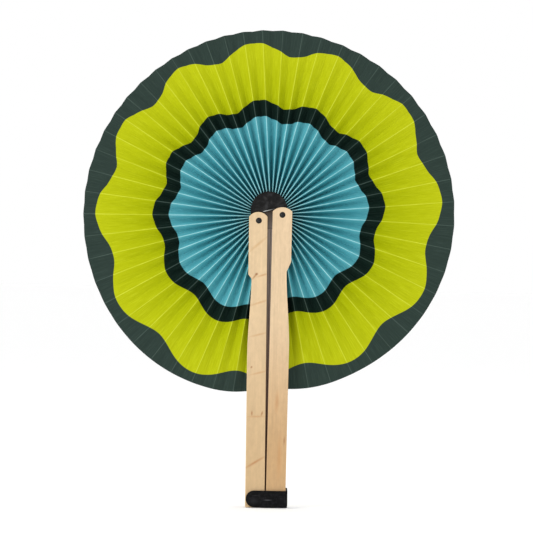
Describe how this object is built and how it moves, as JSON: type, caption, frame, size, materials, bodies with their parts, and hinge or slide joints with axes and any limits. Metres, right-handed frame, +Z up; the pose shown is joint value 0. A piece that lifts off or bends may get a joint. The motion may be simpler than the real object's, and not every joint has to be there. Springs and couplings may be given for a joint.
{
  "type": "folding round fan",
  "caption": "Folding round fan: a pleated paper leaf opens a full turn round a riveted hub, with two wooden sticks as handle and a hook-and-loop strap.",
  "frame": {"origin": "middle of the grip, on the slit between the two sticks and half way through their thickness", "axes": "+Z up along the handle towards the hub, +Y from the front of the open leaf to its back, +X to the right as seen from the front"},
  "size_m": [0.2423, 0.021, 0.3113],
  "materials": {
    "birch_ply": "laser-cut birch plywood, fine sanded, bare",
    "charred_core": "laser-charred plywood edge",
    "printed_leaf": "pleated printed paper, matt",
    "hub_black": "satin black moulding",
    "blackened_steel": "black lacquered rivet steel",
    "loop_tape": "black brushed loop tape",
    "hook_tape": "black hook tape"
  },
  "bodies": {
    "right_handle": {"right_front_plate": "birch_ply", "right_rear_plate": "birch_ply", "right_core": "charred_core", "right_leaf_flap": "printed_leaf", "right_rivet": "blackened_steel", "right_rivet_burr": "blackened_steel", "strap_wrap": "loop_tape", "strap_tacks": "blackened_steel"},
    "hub": {"front_hub_disc": "hub_black", "rear_hub_disc": "hub_black", "hub_spacer": "charred_core", "left_sleeve": "blackened_steel", "right_sleeve": "blackened_steel"},
    "left_handle": {"left_front_plate": "birch_ply", "left_rear_plate": "birch_ply", "left_core": "charred_core", "left_leaf_flap": "printed_leaf", "left_rivet": "blackened_steel", "left_rivet_burr": "blackened_steel", "hook_patch": "hook_tape"},
    "strap": {"strap_tongue": "loop_tape"},
    "gore_01": {"leaf_gore_01": "printed_leaf"},
    "gore_02": {"leaf_gore_02": "printed_leaf"},
    "gore_03": {"leaf_gore_03": "printed_leaf"},
    "gore_04": {"leaf_gore_04": "printed_leaf"},
    "gore_05": {"leaf_gore_05": "printed_leaf"},
    "gore_06": {"leaf_gore_06": "printed_leaf"},
    "gore_07": {"leaf_gore_07": "printed_leaf"},
    "gore_08": {"leaf_gore_08": "printed_leaf"},
    "gore_09": {"leaf_gore_09": "printed_leaf"},
    "gore_10": {"leaf_gore_10": "printed_leaf"},
    "gore_11": {"leaf_gore_11": "printed_leaf"},
    "gore_12": {"leaf_gore_12": "printed_leaf"},
    "gore_13": {"leaf_gore_13": "printed_leaf"},
    "gore_14": {"leaf_gore_14": "printed_leaf"},
    "gore_15": {"leaf_gore_15": "printed_leaf"},
    "gore_16": {"leaf_gore_16": "printed_leaf"},
    "gore_17": {"leaf_gore_17": "printed_leaf"},
    "gore_18": {"leaf_gore_18": "printed_leaf"},
    "gore_19": {"leaf_gore_19": "printed_leaf"},
    "gore_20": {"leaf_gore_20": "printed_leaf"},
    "gore_21": {"leaf_gore_21": "printed_leaf"},
    "gore_22": {"leaf_gore_22": "printed_leaf"},
    "gore_23": {"leaf_gore_23": "printed_leaf"},
    "gore_24": {"leaf_gore_24": "printed_leaf"},
    "gore_25": {"leaf_gore_25": "printed_leaf"},
    "gore_26": {"leaf_gore_26": "printed_leaf"}
  },
  "joints": [
    {"name": "fold", "type": "hinge", "parent": "right_handle", "child": "hub", "pos_m": [0.00764, 0, 0.14999], "axis": [0, 1, 0], "range_deg": [0, 194.87]},
    {"name": "left_swing", "type": "hinge", "parent": "hub", "child": "left_handle", "pos_m": [-0.00764, 0, 0.14601], "axis": [0, 1, 0], "range_deg": [0, 165.67]},
    {"name": "strap_peel", "type": "hinge", "parent": "right_handle", "child": "strap", "pos_m": [0.01383, -0.0099, -0.03519], "axis": [0, 0, 1], "range_deg": [0, 170]},
    {"name": "gore_01_fold", "type": "hinge", "parent": "hub", "child": "gore_01", "pos_m": [-0.00713, 0, 0.15169], "axis": [0, 1, 0], "range_deg": [0, 159.91], "deforming": ["leaf_gore_01"]},
    {"name": "gore_02_fold", "type": "hinge", "parent": "hub", "child": "gore_02", "pos_m": [-0.00639, 0, 0.15066], "axis": [0, 1, 0], "range_deg": [0, 146.61], "deforming": ["leaf_gore_02"]},
    {"name": "gore_03_fold", "type": "hinge", "parent": "hub", "child": "gore_03", "pos_m": [-0.00577, 0, 0.15037], "axis": [0, 1, 0], "range_deg": [0, 131.9], "deforming": ["leaf_gore_03"]},
    {"name": "gore_04_fold", "type": "hinge", "parent": "hub", "child": "gore_04", "pos_m": [-0.00515, 0, 0.15046], "axis": [0, 1, 0], "range_deg": [0, 116.63], "deforming": ["leaf_gore_04"]},
    {"name": "gore_05_fold", "type": "hinge", "parent": "hub", "child": "gore_05", "pos_m": [-0.00442, 0, 0.15082], "axis": [0, 1, 0], "range_deg": [0, 101.36], "deforming": ["leaf_gore_05"]},
    {"name": "gore_06_fold", "type": "hinge", "parent": "hub", "child": "gore_06", "pos_m": [-0.00365, 0, 0.15113], "axis": [0, 1, 0], "range_deg": [0, 86.46], "deforming": ["leaf_gore_06"]},
    {"name": "gore_07_fold", "type": "hinge", "parent": "hub", "child": "gore_07", "pos_m": [-0.00299, 0, 0.15119], "axis": [0, 1, 0], "range_deg": [0, 72.15], "deforming": ["leaf_gore_07"]},
    {"name": "gore_08_fold", "type": "hinge", "parent": "hub", "child": "gore_08", "pos_m": [-0.00246, 0, 0.15115], "axis": [0, 1, 0], "range_deg": [0, 58.53], "deforming": ["leaf_gore_08"]},
    {"name": "gore_09_fold", "type": "hinge", "parent": "hub", "child": "gore_09", "pos_m": [-0.00188, 0, 0.15125], "axis": [0, 1, 0], "range_deg": [0, 45.58], "deforming": ["leaf_gore_09"]},
    {"name": "gore_10_fold", "type": "hinge", "parent": "hub", "child": "gore_10", "pos_m": [-0.00112, 0, 0.15165], "axis": [0, 1, 0], "range_deg": [0, 33.23], "deforming": ["leaf_gore_10"]},
    {"name": "gore_11_fold", "type": "hinge", "parent": "hub", "child": "gore_11", "pos_m": [-0.00031, 0, 0.15251], "axis": [0, 1, 0], "range_deg": [0, 21.31], "deforming": ["leaf_gore_11"]},
    {"name": "gore_12_fold", "type": "hinge", "parent": "hub", "child": "gore_12", "pos_m": [0.00055, 0, 0.15543], "axis": [0, 1, 0], "range_deg": [0, 9.62], "deforming": ["leaf_gore_12"]},
    {"name": "gore_13_fold", "type": "hinge", "parent": "hub", "child": "gore_13", "pos_m": [-0.00608, 0, 0.12411], "axis": [0, 1, 0], "range_deg": [-2.07, 0], "deforming": ["leaf_gore_13"]},
    {"name": "gore_14_fold", "type": "hinge", "parent": "hub", "child": "gore_14", "pos_m": [-0.002, 0, 0.14618], "axis": [0, 1, 0], "range_deg": [-13.98, 0], "deforming": ["leaf_gore_14"]},
    {"name": "gore_15_fold", "type": "hinge", "parent": "hub", "child": "gore_15", "pos_m": [-0.00177, 0, 0.14833], "axis": [0, 1, 0], "range_deg": [-26.31, 0], "deforming": ["leaf_gore_15"]},
    {"name": "gore_16_fold", "type": "hinge", "parent": "hub", "child": "gore_16", "pos_m": [-0.00137, 0, 0.14948], "axis": [0, 1, 0], "range_deg": [-39.16, 0], "deforming": ["leaf_gore_16"]},
    {"name": "gore_17_fold", "type": "hinge", "parent": "hub", "child": "gore_17", "pos_m": [-0.00081, 0, 0.15028], "axis": [0, 1, 0], "range_deg": [-52.58, 0], "deforming": ["leaf_gore_17"]},
    {"name": "gore_18_fold", "type": "hinge", "parent": "hub", "child": "gore_18", "pos_m": [-0.00033, 0, 0.15091], "axis": [0, 1, 0], "range_deg": [-66.54, 0], "deforming": ["leaf_gore_18"]},
    {"name": "gore_19_fold", "type": "hinge", "parent": "hub", "child": "gore_19", "pos_m": [0.00005, 0, 0.15147], "axis": [0, 1, 0], "range_deg": [-80.97, 0], "deforming": ["leaf_gore_19"]},
    {"name": "gore_20_fold", "type": "hinge", "parent": "hub", "child": "gore_20", "pos_m": [0.00048, 0, 0.15198], "axis": [0, 1, 0], "range_deg": [-95.76, 0], "deforming": ["leaf_gore_20"]},
    {"name": "gore_21_fold", "type": "hinge", "parent": "hub", "child": "gore_21", "pos_m": [0.00106, 0, 0.15237], "axis": [0, 1, 0], "range_deg": [-110.8, 0], "deforming": ["leaf_gore_21"]},
    {"name": "gore_22_fold", "type": "hinge", "parent": "hub", "child": "gore_22", "pos_m": [0.00173, 0, 0.1527], "axis": [0, 1, 0], "range_deg": [-126, 0], "deforming": ["leaf_gore_22"]},
    {"name": "gore_23_fold", "type": "hinge", "parent": "hub", "child": "gore_23", "pos_m": [0.00239, 0, 0.15311], "axis": [0, 1, 0], "range_deg": [-141.29, 0], "deforming": ["leaf_gore_23"]},
    {"name": "gore_24_fold", "type": "hinge", "parent": "hub", "child": "gore_24", "pos_m": [0.00314, 0, 0.15361], "axis": [0, 1, 0], "range_deg": [-156.61, 0], "deforming": ["leaf_gore_24"]},
    {"name": "gore_25_fold", "type": "hinge", "parent": "hub", "child": "gore_25", "pos_m": [0.00415, 0, 0.15388], "axis": [0, 1, 0], "range_deg": [-171.92, 0], "deforming": ["leaf_gore_25"]},
    {"name": "gore_26_fold", "type": "hinge", "parent": "hub", "child": "gore_26", "pos_m": [0.00528, 0, 0.15422], "axis": [0, 1, 0], "range_deg": [-187.2, 0], "deforming": ["leaf_gore_26"]}
  ],
  "couplings": [
    {"joint": "left_swing", "follows": "fold", "ratio": 0.85016},
    {"joint": "gore_01_fold", "follows": "fold", "ratio": 0.82058},
    {"joint": "gore_02_fold", "follows": "fold", "ratio": 0.75236},
    {"joint": "gore_03_fold", "follows": "fold", "ratio": 0.67687},
    {"joint": "gore_04_fold", "follows": "fold", "ratio": 0.59847},
    {"joint": "gore_05_fold", "follows": "fold", "ratio": 0.52011},
    {"joint": "gore_06_fold", "follows": "fold", "ratio": 0.44367},
    {"joint": "gore_07_fold", "follows": "fold", "ratio": 0.37025},
    {"joint": "gore_08_fold", "follows": "fold", "ratio": 0.30033},
    {"joint": "gore_09_fold", "follows": "fold", "ratio": 0.23389},
    {"joint": "gore_10_fold", "follows": "fold", "ratio": 0.17049},
    {"joint": "gore_11_fold", "follows": "fold", "ratio": 0.10934},
    {"joint": "gore_12_fold", "follows": "fold", "ratio": 0.049369},
    {"joint": "gore_13_fold", "follows": "fold", "ratio": -0.010613},
    {"joint": "gore_14_fold", "follows": "fold", "ratio": -0.071754},
    {"joint": "gore_15_fold", "follows": "fold", "ratio": -0.13499},
    {"joint": "gore_16_fold", "follows": "fold", "ratio": -0.20093},
    {"joint": "gore_17_fold", "follows": "fold", "ratio": -0.26981},
    {"joint": "gore_18_fold", "follows": "fold", "ratio": -0.34147},
    {"joint": "gore_19_fold", "follows": "fold", "ratio": -0.41551},
    {"joint": "gore_20_fold", "follows": "fold", "ratio": -0.4914},
    {"joint": "gore_21_fold", "follows": "fold", "ratio": -0.5686},
    {"joint": "gore_22_fold", "follows": "fold", "ratio": -0.64659},
    {"joint": "gore_23_fold", "follows": "fold", "ratio": -0.72502},
    {"joint": "gore_24_fold", "follows": "fold", "ratio": -0.80364},
    {"joint": "gore_25_fold", "follows": "fold", "ratio": -0.88221},
    {"joint": "gore_26_fold", "follows": "fold", "ratio": -0.96062}
  ]
}
